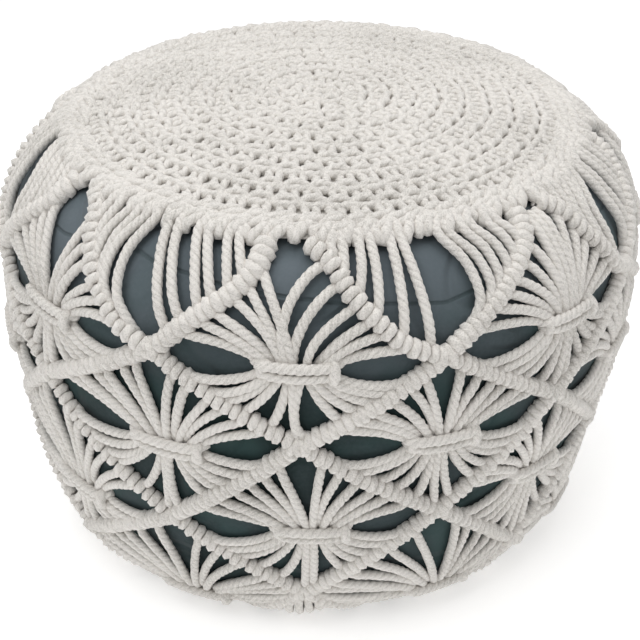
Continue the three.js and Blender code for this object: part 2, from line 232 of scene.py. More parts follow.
# The filling presses it out between the cords, more so low down, and less under the crochet, which holds
# the crown. Near the floor it only spreads sideways.
PRESSED_OUT = 0.003
PRESSED_OUT_LOW = 0.007
LOW_HEIGHTS = (0.020, 0.070)
SPREADS_BELOW = 0.040
CROWN_ABOVE = 0.200
CROWN_RADII = (0.160, 0.185)
CROWN_SHARE = 0.42

# The pouf isn't an even round. Turns are counted from the front towards +X.
RIM_HEIGHT = 0.326
LOBE_WIDTH = math.radians(40)
FULLER_BY = 0.030
FULLER_TURN = math.radians(-65)
FULLER_HEIGHTS = (0.05, 0.15)
DRAWN_IN_BY = 0.025
DRAWN_IN_TURN = math.radians(-115)
NARROWER_BY = 0.024
NARROWER_TURN = math.radians(70)
NARROWER_HEIGHT = 0.125
NARROWER_REACH = 0.070

# The seam between the band and the upper disc: degrees round from the front, and millimetres up.
SEAM = [
    (-120, 296), (-80, 303), (-50, 297), (-33.2, 305), (-28, 300.5), (-22.2, 299.5), (-20.2, 298), (0, 291),
    (15.2, 285.5), (19.5, 283), (23.8, 285.5), (50, 293), (90, 288), (140, 296), (190, 290),
]


def lobe(turn, middle):
    """1 at one turn round the pouf, and less away from it."""
    away = (turn - middle + math.pi) % (2 * math.pi) - math.pi
    return np.exp(-((away / LOBE_WIDTH) ** 2))


def unevenness(turn, height):
    """How much wider than an even round the pouf is, as a share of its radius: fuller at its lower left,
    drawn in at its upper back left, and a little narrow half way up its right side."""
    low = np.interp(height, FULLER_HEIGHTS, (1, 0))
    fuller = FULLER_BY * lobe(turn, FULLER_TURN) * low**2 * (3 - 2 * low)
    drawn_in = DRAWN_IN_BY * lobe(turn, DRAWN_IN_TURN) * (height / RIM_HEIGHT) ** 3
    off_middle = (height - NARROWER_HEIGHT) / NARROWER_REACH
    narrower = NARROWER_BY * lobe(turn, NARROWER_TURN) * np.exp(-(off_middle**2))
    return fuller - drawn_in - narrower


cushion = copied_node("cushion", "filled_cushion")
remesh = cushion.modifiers.new("remesh", "REMESH")
remesh.mode = "VOXEL"
remesh.voxel_size = CUSHION_MESH
apply_all(cushion)
filled = corners(cushion)
facing = outward(cushion)
swell = np.interp(filled[:, 2:], LOW_HEIGHTS, (PRESSED_OUT_LOW, PRESSED_OUT))
move_corners(cushion, filled - CUSHION_SHRINK * facing)
cloth = cushion.modifiers.new("cloth", "CLOTH").settings
cloth.quality = CUSHION_QUALITY
cloth.use_pressure = True
cloth.uniform_pressure_force = CUSHION_PRESSURE
cloth.effector_weights.gravity = 0
for step in range(1, CUSHION_FRAMES + 1):
    bpy.context.scene.frame_set(step)
apply_all(cushion)
bpy.context.scene.frame_set(1)
blown = np.sum((corners(cushion) - filled) * facing, axis=1, keepdims=True)
swell = swell + np.clip(blown, 0, CUSHION_SWELL)
free = np.interp(np.hypot(filled[:, 0], filled[:, 1]), CROWN_RADII, (CROWN_SHARE, 1))
free[filled[:, 2] < CROWN_ABOVE] = 1
pressed = facing * swell * free[:, None]
pressed[:, 2] *= np.clip(filled[:, 2] / SPREADS_BELOW, 0, 1)
full = filled + pressed
full[:, 2] = np.maximum(full[:, 2], 0)
full[:, :2] *= 1 + unevenness(np.arctan2(full[:, 0], -full[:, 1]), full[:, 2])[:, None]
move_corners(cushion, full)
cushion.modifiers.new("smooth", "SUBSURF").levels = 1
apply_all(cushion)
seam_turns = np.radians(SEAM)[:, 0]
seam_heights = np.array(SEAM)[:, 1] / 1000
places = corners(cushion)
turns = np.arctan2(places[:, 0], -places[:, 1])
above = places[:, 2] - np.interp(turns, seam_turns, seam_heights, period=2 * math.pi)
cushion.data.attributes.new("above_seam", "FLOAT", "POINT").data.foreach_set("value", above)
cushion.data.materials.append(slate_cloth())
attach(cushion, "root")
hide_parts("cushion")


# The crocheted top: rounds of chunky stitches in the same cord as the net, worked outwards from a ring.
# Each stitch is a post of two strands with a chain of two strands along its head, and a small hole
# shows between each two posts. Below them lies the thin ground that the strands make together.
RIM_RADIUS = 0.200
DOME_RISE = 0.014
DOME_POWER = 2.6
OVAL = 0.02
OVAL_TURN = math.radians(-36)
SLOPE = 0.0065
SLOPE_TURN = math.radians(49)
CORD_RADIUS = 0.0035
CORD_LAY = 0.0165
PLIES = 3
SIDES = 9
SHORT_SIDES = 6
CROCHET_RADIUS = 0.199
CROCHET_ROUNDS = 10
CROCHET_MIDDLE = 0.004
STITCH_WIDTH = 0.0165
FEWEST_STITCHES = 6

chance = random.Random(7)


def place(radius, turn, height):
    """A point at a radius, a turn and a height. The pouf is a little oval and slopes towards one side."""
    oval = 1 + OVAL * np.cos(2 * (turn - OVAL_TURN)) + unevenness(turn, height)
    slope = SLOPE * (radius / RIM_RADIUS) * np.cos(turn - SLOPE_TURN) * (height / RIM_HEIGHT) ** 2
    across, ahead = radius * oval * np.sin(turn), -radius * oval * np.cos(turn)
    return np.stack(np.broadcast_arrays(across, ahead, np.maximum(0, height - slope)), -1)


def on_top(radius, turn, out):
    """A point some way above the crocheted disc, which is domed."""
    share = np.clip(np.asarray(radius) / CROCHET_RADIUS, 0, 1)
    return place(radius, turn, RIM_HEIGHT + DOME_RISE * (1 - share**DOME_POWER) + out)


# A direction in which no cord sets out.
ODD_WAY = (0.31, 0.47, 0.83)


class Cords:
    """Three-ply twisted cords in one mesh. Its UV map runs once round each cord, and along it in metres."""

    def __init__(self):
        self.points = []
        self.faces = []
        self.map = []
        self.count = 0

    def lay(self, path, radius=CORD_RADIUS, step=0.0024, sides=SIDES, groove=0.13):
        """Lays a cord along a path, above the floor. radius is one number or one for each point of the path,
        and groove is how far its surface dips between two plies, as a share of it."""
        path = np.asarray(path, float)
        along = np.concatenate([[0], np.cumsum(np.linalg.norm(np.diff(path, axis=0), axis=1))])
        count = max(4, round(along[-1] / step) + 1)
        at = np.linspace(0, along[-1], count)
        line = np.stack([np.interp(at, along, path[:, axis]) for axis in range(3)], 1)
        reach = np.interp(at, along, np.broadcast_to(radius, len(path)))
        line[:, 2] = np.maximum(line[:, 2], reach)
        ahead = np.gradient(line, axis=0)
        ahead /= np.linalg.norm(ahead, axis=1, keepdims=True)
        side = np.zeros_like(line)
        side[0] = np.cross(ahead[0], ODD_WAY)
        for index in range(count):
            held = side[max(index - 1, 0)]
            square = held - ahead[index] * (held @ ahead[index])
            side[index] = square / np.linalg.norm(square)
        other = np.cross(ahead, side)
        angles = chance.uniform(0, 6) - 2 * math.pi * at[:, None] / CORD_LAY
        angles = angles + 2 * math.pi * np.arange(sides) / sides
        between_plies = np.arange(sides) % (sides // PLIES) == 0
        spread = (reach[:, None] * np.where(between_plies, 1 - groove, 1.0))[..., None]
        turned = np.cos(angles)[..., None] * side[:, None] + np.sin(angles)[..., None] * other[:, None]
        rings = line[:, None] + spread * turned
        tips = [line[0] - ahead[0] * reach[0] / 2, line[-1] + ahead[-1] * reach[-1] / 2]
        self.points.append(np.vstack([rings.reshape(-1, 3), tips]))
        ring, near = np.meshgrid(np.arange(count - 1), np.arange(sides), indexing="ij")
        far = (near + 1) % sides
        base = self.count + ring * sides
        quads = np.stack([base + near, base + far, base + far + sides, base + near + sides], -1)
        self.faces.extend(quads.reshape(-1, 4).tolist())
        low, high = near / sides, (near + 1) / sides
        begin, finish = at[ring], at[ring + 1]
        on_map = np.stack([low, begin, high, begin, high, finish, low, finish], -1)
        self.map.append(on_map.reshape(-1, 2))
        last = self.count + (count - 1) * sides
        for near in range(sides):
            far = (near + 1) % sides
            self.faces.append([self.count + count * sides, self.count + far, self.count + near])
            self.faces.append([self.count + count * sides + 1, last + near, last + far])
            self.map.append(np.array([[near / sides, 0.0]] * 3 + [[near / sides, at[-1]]] * 3))
        self.count += len(self.points[-1])

    def piece(self, name, finish):
        """The cords as one object."""
        mesh = bpy.data.meshes.new(name)
        mesh.from_pydata(np.vstack(self.points).tolist(), [], self.faces)
        mesh.uv_layers.new(name="cord").data.foreach_set("uv", np.vstack(self.map).ravel())
        mesh.polygons.foreach_set("use_smooth", [True] * len(mesh.polygons))
        mesh.materials.append(finish)
        piece = bpy.data.objects.new(name, mesh)
        bpy.context.scene.collection.objects.link(piece)
        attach(piece, "root")
        return piece


COTTON_SHADE = (0.47, 0.45, 0.415, 1)
COTTON_LIGHT = (0.79, 0.76, 0.72, 1)
FIBRES_ROUND = 36
FIBRES_ALONG = 150


def cotton_cord():
    """Matt, hairy cotton: fibres drawn out along the plies, fuzz over them, and shade between the plies."""
    finish = Finish("natural_cotton")
    at = finish.node("ShaderNodeTexCoord", {}, {}, "Object")
    cord = finish.node("ShaderNodeUVMap", {"uv_map": "cord"}, {})
    round_cord = finish.node("ShaderNodeSeparateXYZ", {}, {"Vector": cord}, "X")
    between_plies = finish.between((round_cord * (2 * math.pi * PLIES)).cosine(), 0, 1)
    drawn_out = {"Vector": cord, "Scale": (FIBRES_ROUND, FIBRES_ALONG, 1)}
    fibre_map = finish.node("ShaderNodeMapping", {}, drawn_out)
    fibres = finish.noise(fibre_map, scale=1, detail=3, roughness=0.6)
    fuzz = finish.noise(at, scale=900)
    cloud = finish.noise(at, scale=16, detail=3)
    tone = finish.between(0.22 * cloud + 0.38 * fibres + 0.4 * fuzz, 0.31, 0.57) - 0.25 * between_plies
    relief = {"Strength": 0.6, "Distance": 0.0005, "Height": fibres + 0.7 * fuzz - 0.3 * between_plies}
    return finish.surface({
        "Base Color": finish.mix(tone, COTTON_SHADE, COTTON_LIGHT),
        "Roughness": 0.93,
        "Specular IOR Level": 0.25,
        "Sheen Weight": 0.25,
        "Sheen Roughness": 0.6,
        "Normal": finish.node("ShaderNodeBump", {}, relief),
    })


cotton = cotton_cord()
GROUND_DEPTH = 0.0024
GROUND_THICKNESS = 0.0015
GROUND_RADIUS = 0.196
GROUND_SIDES = 144
GROUND_RINGS = 30
CROCHET_EDGE = 0.187
ROUND_WIDTH = CROCHET_EDGE / CROCHET_ROUNDS

ground_radii = np.linspace(0, GROUND_RADIUS, GROUND_RINGS + 1)[1:]
ground_turns = np.arange(GROUND_SIDES) * 2 * math.pi / GROUND_SIDES
ground_points = [on_top(0.0, 0.0, -GROUND_DEPTH)]
for radius in ground_radii:
    ground_points.extend(on_top(radius, ground_turns, -GROUND_DEPTH))
ground_faces = [[0, 1 + side, 1 + (side + 1) % GROUND_SIDES] for side in range(GROUND_SIDES)]
for ring in range(GROUND_RINGS - 1):
    inner, outer = 1 + ring * GROUND_SIDES, 1 + (ring + 1) * GROUND_SIDES
    for side in range(GROUND_SIDES):
        beside = (side + 1) % GROUND_SIDES
        ground_faces.append([inner + side, outer + side, outer + beside, inner + beside])
ground_mesh = bpy.data.meshes.new("crochet_ground")
ground_mesh.from_pydata([list(point) for point in ground_points], [], ground_faces)
ground = bpy.data.objects.new("crochet_ground", ground_mesh)
bpy.context.scene.collection.objects.link(ground)
solid = ground.modifiers.new("thickness", "SOLIDIFY")
solid.thickness = GROUND_THICKNESS
apply_all(ground)
ground_mesh.uv_layers.new(name="cord")
ground_mesh.materials.append(cotton)
ground_mesh.polygons.foreach_set("use_smooth", [True] * len(ground_mesh.polygons))
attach(ground, "root")
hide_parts("crochet_top")

# A stitch's strands: the two of its post, and the two of the chain along its head. By point: how far it
# lies round the round, in stitches, how far out, in rounds, and how high its middle rides, in cord radii.
STITCH_STRANDS = [
    [(-0.34, -0.24, -1.1), (-0.29, -0.02, -0.4), (-0.22, 0.24, 0), (-0.15, 0.5, -0.3), (-0.1, 0.72, -1)],
    [(0.12, -0.26, -1.1), (0.18, -0.04, -0.2), (0.22, 0.24, 0.1), (0.25, 0.5, -0.3), (0.26, 0.72, -1)],
    [(-0.55, 0.84, -1.2), (-0.34, 0.62, -0.1), (0, 0.55, 0.3), (0.34, 0.66, 0.1), (0.6, 0.88, -1)],
    [(-0.55, 0.76, -1.1), (-0.3, 0.96, 0), (0.04, 1.02, 0.2), (0.36, 0.94, 0), (0.6, 0.74, -1)],
]
STITCH_SIZES = [1.02, 1.02, 1.1, 1.1]
STITCHES_COUNTED_AT = 0.6


def smooth_path(points, per_span=6):
    """A smooth line through points, as rows."""
    given = np.asarray(points, float)
    given = np.vstack([given[0], given, given[-1]])
    share = np.linspace(0, 1, per_span, endpoint=False)[:, None]
    spans = []
    for before, start, end, after in zip(given, given[1:], given[2:], given[3:]):
        leave, arrive = (end - before) / 2, (after - start) / 2
        cubic = (2 * start - 2 * end + leave + arrive) * share**3
        square = (-3 * start + 3 * end - 2 * leave - arrive) * share**2
        spans.append(cubic + square + leave * share + start)
    return np.vstack([*spans, given[-1]])


stitches = Cords()
for crochet_round in range(CROCHET_ROUNDS):
    inner = ROUND_WIDTH * crochet_round
    counted_at = inner + STITCHES_COUNTED_AT * ROUND_WIDTH
    count = max(FEWEST_STITCHES, round(2 * math.pi * counted_at / STITCH_WIDTH))
    shift = chance.random()
    for stitch in range(count):
        for strand, thick in zip(STITCH_STRANDS, STITCH_SIZES):
            wide = chance.uniform(0.88, 1.12)
            bed = np.array(strand)
            turns = (stitch + shift + bed[:, 0] * wide) * 2 * math.pi / count
            radii = inner + ROUND_WIDTH * (bed[:, 1] + chance.uniform(-0.06, 0.06))
            rises = CORD_RADIUS * (bed[:, 2] + chance.uniform(-0.15, 0.15))
            path = on_top(np.maximum(radii, CROCHET_MIDDLE), turns, rises)
            radius = CORD_RADIUS * thick * chance.uniform(0.92, 1.08)
            stitches.lay(smooth_path(path), radius, step=0.0033, sides=SHORT_SIDES, groove=0.2)
crochet = stitches.piece("crochet_stitches", cotton)


# The lattice of the net: one piece of knotted cotton cord that hangs from the edge of the crochet, wraps
# the side in four rows of diamonds and turns in under the base. Eight repeats go round. Hand work and the
# pull of the cords leave its crossings and knots a little off their even places.
REPEATS = 8
STEPS = 2 * REPEATS
HALF_PITCH = 360 / STEPS
FIRST_TURN = -4.5
CROSSING_HEIGHTS = [0.317, 0.256, 0.198, 0.118, 0.047]
LAST_CROSSING_RADIUS = 0.161
KNOT_HEIGHTS = [0.255, 0.187, 0.112, 0.027]
BASE_RING_RADIUS = 0.152
BASE_BELOW = 0.02

# The face of the net, from the rim down the side and in under the base: radius and height.
WAIST_RADIUS = 0.250
NET_PROFILE = [
    (RIM_RADIUS, RIM_HEIGHT), (0.219, 0.312), (0.241, 0.282), (WAIST_RADIUS, 0.231), (WAIST_RADIUS, 0.172),
    (0.242, 0.116), (0.231, 0.066), (0.221, 0.033), (0.205, 0.012), (0.187, 0.0025), (0.168, 0.0),
    (0.152, 0.0), (0.138, 0.0),
]
INNER_SLOPE = 0.17
UNDERNEATH_HEIGHTS = (0.004, 0.034)
UNDERNEATH_LIFT = 0.0025

# What is pulled off its even place near the front: degrees round and millimetres up, by row and step.
# Further round than PULLED_STEPS, everything is off its even place by up to SWAY.
SWAY = (1.3, 3)
PULLED_STEPS = 2
PULLED_CROSSINGS = {
    (0, -2): (-1.2, 1), (0, 0): (-1.3, 0), (0, 2): (3.0, 0), (1, -1): (0.8, 0), (1, 1): (0.5, 2),
    (2, 0): (1.0, 1), (3, -1): (1.6, -3), (3, 1): (1.3, 7), (4, 0): (1.1, 1),
}
PULLED_KNOTS = {
    (0, -2): (1.4, -3), (0, 0): (0.5, 1), (0, 2): (2.6, 0), (1, -1): (2.7, -2), (1, 1): (0.3, 6),
    (2, -2): (3.0, -11), (2, 0): (2.3, 6), (2, 2): (-0.3, 14), (3, -1): (1.7, -1), (3, 1): (5.0, 1),
}

profile = smooth_path(NET_PROFILE, per_span=60)
profile_drops = np.concatenate([[0], np.cumsum(np.linalg.norm(np.diff(profile, axis=0), axis=1))])
profile_way = np.gradient(profile, axis=0)
profile_way /= np.linalg.norm(profile_way, axis=1, keepdims=True)


def on_net(turn, drop, out=0.0):
    """A point at a turn from the front, a drop down the net from the rim, and some way out from its face.
    A drop below zero lies on the top, inside the rim."""
    inside = np.minimum(drop, 0)
    radius, height = (np.interp(drop, profile_drops, profile[:, axis]) for axis in (0, 1))
    inward, down = (np.interp(drop, profile_drops, profile_way[:, axis]) for axis in (0, 1))
    underneath = np.interp(height, UNDERNEATH_HEIGHTS, (1, 0))
    depth = out - UNDERNEATH_LIFT * underneath**2 * (3 - 2 * underneath)
    return place(radius + inside - down * depth, turn, height - INNER_SLOPE * inside + inward * depth)


def lay_spots(cords, spots, radius, **manner):
    """Lays a cord along rows of turn, drop and height over the net's face."""
    spots = np.asarray(spots)
    cords.lay(on_net(spots[:, 0], spots[:, 1], spots[:, 2]), radius, **manner)


def radius_at(drop):
    return np.interp(drop, profile_drops, profile[:, 0])


def drop_of_height(height):
    return float(np.interp(-height, -profile[:, 1], profile_drops))


def drop_of_radius(radius):
    """The drop of a radius under the base."""
    under = profile[:, 1] < BASE_BELOW
    return float(np.interp(-radius, -profile[under, 0], profile_drops[under]))


crossing_drops = [drop_of_height(height) for height in CROSSING_HEIGHTS]
crossing_drops.append(drop_of_radius(LAST_CROSSING_RADIUS))
knot_drops = [drop_of_height(height) for height in KNOT_HEIGHTS]


def lattice_spot(drops, pulled, row, step):
    """The turn and drop of a crossing or knot, by its row and its half-pitches round from the front."""
    home = step - round(step / STEPS) * STEPS
    turn, rise = 0, 0
    if abs(home) > PULLED_STEPS:
        turn = SWAY[0] * math.sin(2.3 * home + 1.7 * row)
        rise = SWAY[1] * math.sin(1.9 * home + 2.6 * row + 1)
    turn, rise = pulled.get((row, home), (turn, rise))
    if row == len(CROSSING_HEIGHTS):
        rise = 0
    return np.array([math.radians(FIRST_TURN + HALF_PITCH * step + turn), drops[row] - rise / 1000])


def crossing_spot(row, step):
    return lattice_spot(crossing_drops, PULLED_CROSSINGS, row, step)


def knot_spot(row, step):
    return lattice_spot(knot_drops, PULLED_KNOTS, row, step)


def nearest_turn(spot, to):
    """The spot with its turn written the short way round from another one."""
    turn = to[0] + (spot[0] - to[0] + math.pi) % (2 * math.pi) - math.pi
    return np.array([turn, spot[1]])


def moved(spot, right, up):
    """A spot moved by metres to the right and up."""
    return np.array([spot[0] + right / radius_at(spot[1]), spot[1] - up])


def flat_way(start, end):
    """Metres right and up from one spot to another."""
    radius = radius_at((start[1] + end[1]) / 2)
    return np.array([(end[0] - start[0]) * radius, start[1] - end[1]])


# The bars: each is a holding cord that the strands are tied to one after another with double half hitches,
# so that it shows as pairs of short wraps side by side. They run down both ways and cross in diamonds.
HOLDING_RADIUS = 0.0030
HOLDING_OUT = -0.0052
HITCH_PAIR = {"left": 0.0122, "right": 0.0138}
WRAPS_APART = {"left": 0.50, "right": 0.46}
WRAP_ACROSS = {"left": 0.0037, "right": 0.0034}
WRAP_SLANT = {"left": 0.16, "right": -0.12}
WRAP_RADIUS = {"left": 0.0041, "right": 0.0038}
WRAP_TOP = 0.0004
WRAP_FOOT = -0.0070
WRAP_REACH = 115
WRAP_FLATNESS = 0.7
WRAP_SPOTS = 9
PROUD_FOR_THICK = 0.003
LOWER_SIZE = 0.93
BAR_SPOTS = 12

# In the first row the right bars stand proud of the left ones, and each left bar starts with fatter wraps.
FAT_PAIRS = 2
FAT_WRAP = 1.12
RIM_PROUD = {"left": 0.0, "right": 0.0012}

# The two wraps over each crossing: metres right of it, and the way that each runs, right and up.
CROSSING_WRAPS = [(-0.0045, (0.85, -0.5)), (0.0035, (0.95, 0.1))]
CROSSING_ACROSS = 0.0036
CROSSING_RADIUS = 0.0038
CROSSING_PROUD = 0.001

# The bars of the first row start at the rim, beside their crossing, and curve down to the next one.
RIM_START = {"left": -0.016, "right": 0.010}
RIM_START_DROP = 0.002
RIM_FALL = {
    "left": [(0, 0), (0.03, 0.175), (0.185, 0.37), (0.43, 0.556), (0.69, 0.756), (1, 1)],
    "right": [(0, 0), (0.19, 0.147), (0.295, 0.353), (0.415, 0.52), (0.56, 0.70), (0.72, 0.865), (1, 1)],
}


def bar_line(row, step, way):
    """The spots along a bar, from its upper crossing down to the lower one, left or right."""
    upper = crossing_spot(row, step)
    lower = nearest_turn(crossing_spot(row + 1, step + (1 if way == "right" else -1)), upper)
    if row > 0:
        return np.linspace(upper, lower, BAR_SPOTS)
    start = np.array([moved(upper, RIM_START[way], 0)[0], RIM_START_DROP])
    return start + smooth_path(RIM_FALL[way], per_span=3) * (lower - start)


def spot_on(line, share):
    """The spot at a share of a line's length, its direction there, right and up, and the whole length."""
    steps = np.linalg.norm([flat_way(start, end) for start, end in zip(line, line[1:])], axis=1)
    along = np.concatenate([[0], np.cumsum(steps)])
    at = share * along[-1]
    spot = np.array([np.interp(at, along, line[:, axis]) for axis in (0, 1)])
    index = min(np.searchsorted(along, at, side="right"), len(line) - 1)
    way = flat_way(line[index - 1], line[index])
    return spot, way / np.linalg.norm(way), along[-1]


def add_wrap(cords, spot, ahead, across_by, slant, radius, proud):
    """One turn of a hitch over the holding cord: a flattened arch whose feet are under the bar."""
    across = np.array([-ahead[1], ahead[0]])
    middle, height = (WRAP_TOP + WRAP_FOOT) / 2, (WRAP_TOP - WRAP_FOOT) / 2
    spots = []
    for angle in np.radians(np.linspace(-WRAP_REACH, WRAP_REACH, WRAP_SPOTS)):
        side = across_by * math.sin(angle)
        shift = across * side + ahead * slant * side
        rise = math.copysign(abs(math.cos(angle)) ** WRAP_FLATNESS, math.cos(angle))
        spots.append([*moved(spot, *shift), middle + proud + height * rise])
    lay_spots(cords, spots, radius, step=0.0026, sides=SHORT_SIDES, groove=0.08)


bar_lines = {}
for row in range(len(CROSSING_HEIGHTS)):
    hitches = Cords()
    size = LOWER_SIZE if row else 1
    for step in range(row % 2, STEPS, 2):
        for way in ("left", "right"):
            line = bar_line(row, step, way)
            bar_lines[row, step, way] = line
            inside = np.column_stack([line, np.full(len(line), HOLDING_OUT)])
            lay_spots(hitches, inside, HOLDING_RADIUS, step=0.006, sides=SHORT_SIDES)
            pairs = round(spot_on(line, 0)[2] / HITCH_PAIR[way] / size)
            for pair in range(pairs):
                for second in (0, 1):
                    share = (pair + 0.5 + (second - 0.5) * WRAPS_APART[way]) / pairs
                    share += chance.uniform(-0.004, 0.004)
                    spot, ahead, _ = spot_on(line, share)
                    sideways = chance.uniform(-0.0006, 0.0006)
                    spot = moved(spot, -ahead[1] * sideways, ahead[0] * sideways)
                    fat = row == 0 and way == "left" and pair < FAT_PAIRS
                    thick = FAT_WRAP if fat else size * chance.uniform(0.95, 1.05)
                    slant = WRAP_SLANT[way] * chance.uniform(0.6, 1.3)
                    across_by = WRAP_ACROSS[way] * thick
                    proud = (thick - 1) * PROUD_FOR_THICK
                    if row == 0:
                        proud += RIM_PROUD[way]
                    add_wrap(hitches, spot, ahead, across_by, slant, WRAP_RADIUS[way] * thick, proud)
        if row > 0:
            crossing = crossing_spot(row, step)
            for right, ahead in CROSSING_WRAPS:
                spot = moved(crossing, right, chance.uniform(-0.001, 0.001))
                add_wrap(hitches, spot, np.array(ahead), CROSSING_ACROSS, 0, CROSSING_RADIUS, CROSSING_PROUD)
    hitches.piece(f"hitched_bars_{row + 1}", cotton)


# The fans: in each diamond twelve strands come down from the two bars above it, are gathered side by side
# by a square knot, and spread out again to the two bars below it.
STRANDS_A_SIDE = 6

# How far down its bar each strand is tied, from the middle of the fan outwards, for the strands above the
# knot (1) and below it (-1), left and right.
TIED_AT = {
    1: [(0.15, 0.28, 0.41, 0.54, 0.67, 0.80), (0.15, 0.28, 0.41, 0.54, 0.67, 0.80)],
    -1: [(0.97, 0.80, 0.61, 0.48, 0.36, 0.23), (0.92, 0.70, 0.57, 0.46, 0.35, 0.22)],
}

# The lowest fans are drawn together: their outer strands lie close along the bars and leave no lens open.
TIED_AT_LOWEST = {
    1: [(0.20, 0.38, 0.56, 0.72, 0.86, 0.97)] * 2,
    -1: [(0.85, 0.62, 0.44, 0.28, 0.15, 0.04)] * 2,
}
KNOT_HALF_WIDTH = 0.0200
STRAND_OUT = -0.0022
KNOT_HALF_GAP = 0.001
LAYER_DEPTH = 0.0030
DIVE_IN_KNOT = (0.0018, 0.0060)
DIVE_IN_BAR = (0.0046, 0.0065)
GATHERED_SIZE = 0.84
SPREAD_SIZE = 0.98
SPREAD_WITHIN = 0.02
BEND = 0.36
MOST_TILT = 1.2
LEAVE_SHARE = 0.40
LEAVE_MORE = 0.44
ARRIVE_MORE = 0.75
STRAND_SPOTS = 14

# Strands of the front fan that bend across its middle to the bars on the right, above (1) or below (-1),
# counted from the middle: their place in the knot, and the angles at which they leave it and reach the bar.
BENT_OVER = {
    (1, 0): (-0.0050, -24, 66), (1, 1): (-0.0020, -4, 58), (1, 2): (0.0065, -2, 58),
    (-1, 0): (0.0045, -16, 68),
}

# More strands that come down to a fan from the rim between its bars: metres right of the crossing, and
# their place in the knot.
RIM_STRANDS = {(0, 2): [(-0.008, -0.004), (-0.001, 0.001), (0.006, 0.006)]}
RIM_STRAND_DROP = 0.006


def dive(away, depth, reach):
    """How far a strand sinks, some way from an end that is hidden."""
    return depth * np.exp(-((away / reach) ** 2))


def fan_strand(cords, centre, goal, place_in_knot, up, layer, angles=None):
    """A strand from inside the knot to where it is tied. up is 1 for the bars above, -1 below. It leaves
    the knot more upright than it ends, unless its two angles are given."""
    goal = nearest_turn(goal, centre)
    start = moved(centre, place_in_knot, up * KNOT_HALF_GAP)
    reach = flat_way(start, goal)
    length = np.linalg.norm(reach)
    lean = math.atan2(reach[0], up * reach[1])
    tilt = min(abs(lean) / (math.pi / 2), MOST_TILT)
    leave = lean * (LEAVE_SHARE + LEAVE_MORE * tilt**2) + chance.uniform(-0.12, 0.12)
    arrive = lean + (lean - leave) * ARRIVE_MORE + chance.uniform(-0.1, 0.1)
    if angles:
        leave, arrive = np.radians(angles)
    ways = [np.array([math.sin(angle), up * math.cos(angle)]) for angle in (leave, arrive)]
    along = np.linspace(0, 1, STRAND_SPOTS)[:, None]
    bend = length * BEND
    flat = 3 * along * (1 - along) ** 2 * ways[0] * bend
    flat = flat + 3 * along**2 * (1 - along) * (reach - ways[1] * bend) + along**3 * reach
    turn_for_metre = 1 / radius_at((start[1] + goal[1]) / 2)
    along = along[:, 0]
    outs = STRAND_OUT - LAYER_DEPTH * layer * (1 - along) ** 2
    outs -= dive(along * length, *DIVE_IN_KNOT)
    outs -= dive((1 - along) * length, *DIVE_IN_BAR)
    size = np.interp(along * length, (0, SPREAD_WITHIN), (GATHERED_SIZE, SPREAD_SIZE))
    path = on_net(start[0] + flat[:, 0] * turn_for_metre, start[1] - flat[:, 1], outs)
    cords.lay(path, CORD_RADIUS * size * chance.uniform(0.94, 1.06))


# The cords across a fan: their height over its middle, how far they reach to each side, and their thickness.
KNOT_CORDS = [(0.0036, 0.0275, 1.08), (-0.0034, 0.0250, 0.9)]
KNOT_SPOTS = 13
KNOT_TIPS_UP = 0.0024
KNOT_MIDDLE_DOWN = 0.00096
KNOT_NARROWS = 0.25
KNOT_OUT = 0.0010
KNOT_DIVES_FROM = 0.80
KNOT_DIVE = 0.0085

# The loops round their ends, right (1) and left (-1): half their height, how proud they are, their thickness.
KNOT_LOOPS = [(1, 0.0062, 0.0058, 1.12), (-1, 0.0045, 0.00348, 0.95)]
LOOP_SPOTS = 9
LOOP_PLACE = 0.0228
LOOP_BULGE = 0.0012
LOOP_OUT = -0.0034
LOOP_REACH = 120


def add_square_knot(cords, centre):
    """The two cords across a fan, which dive in at their ends, and the loops round them."""
    fall = chance.uniform(-0.001, 0.005)
    for level, tip, thick in KNOT_CORDS:
        spots = []
        for across in np.linspace(-1, 1, KNOT_SPOTS):
            up = level * (1 - KNOT_NARROWS * across**4) - fall * across / 2
            up += KNOT_TIPS_UP * across**2 - KNOT_MIDDLE_DOWN
            sunk = KNOT_DIVE * max(0, abs(across) - KNOT_DIVES_FROM) / (1 - KNOT_DIVES_FROM)
            spots.append([*moved(centre, tip * across, up), KNOT_OUT - sunk])
        lay_spots(cords, spots, CORD_RADIUS * thick, step=0.0022, groove=0.18)
    for end, tall, proud, thick in KNOT_LOOPS:
        spots = []
        for angle in np.radians(np.linspace(-LOOP_REACH, LOOP_REACH, LOOP_SPOTS)):
            right = end * LOOP_PLACE + LOOP_BULGE * math.cos(angle)
            up = tall * math.sin(angle) - end * fall / 2
            spots.append([*moved(centre, right, up), LOOP_OUT + proud * math.cos(angle)])
        lay_spots(cords, spots, CORD_RADIUS * thick, step=0.0026, sides=SHORT_SIDES, groove=0.1)


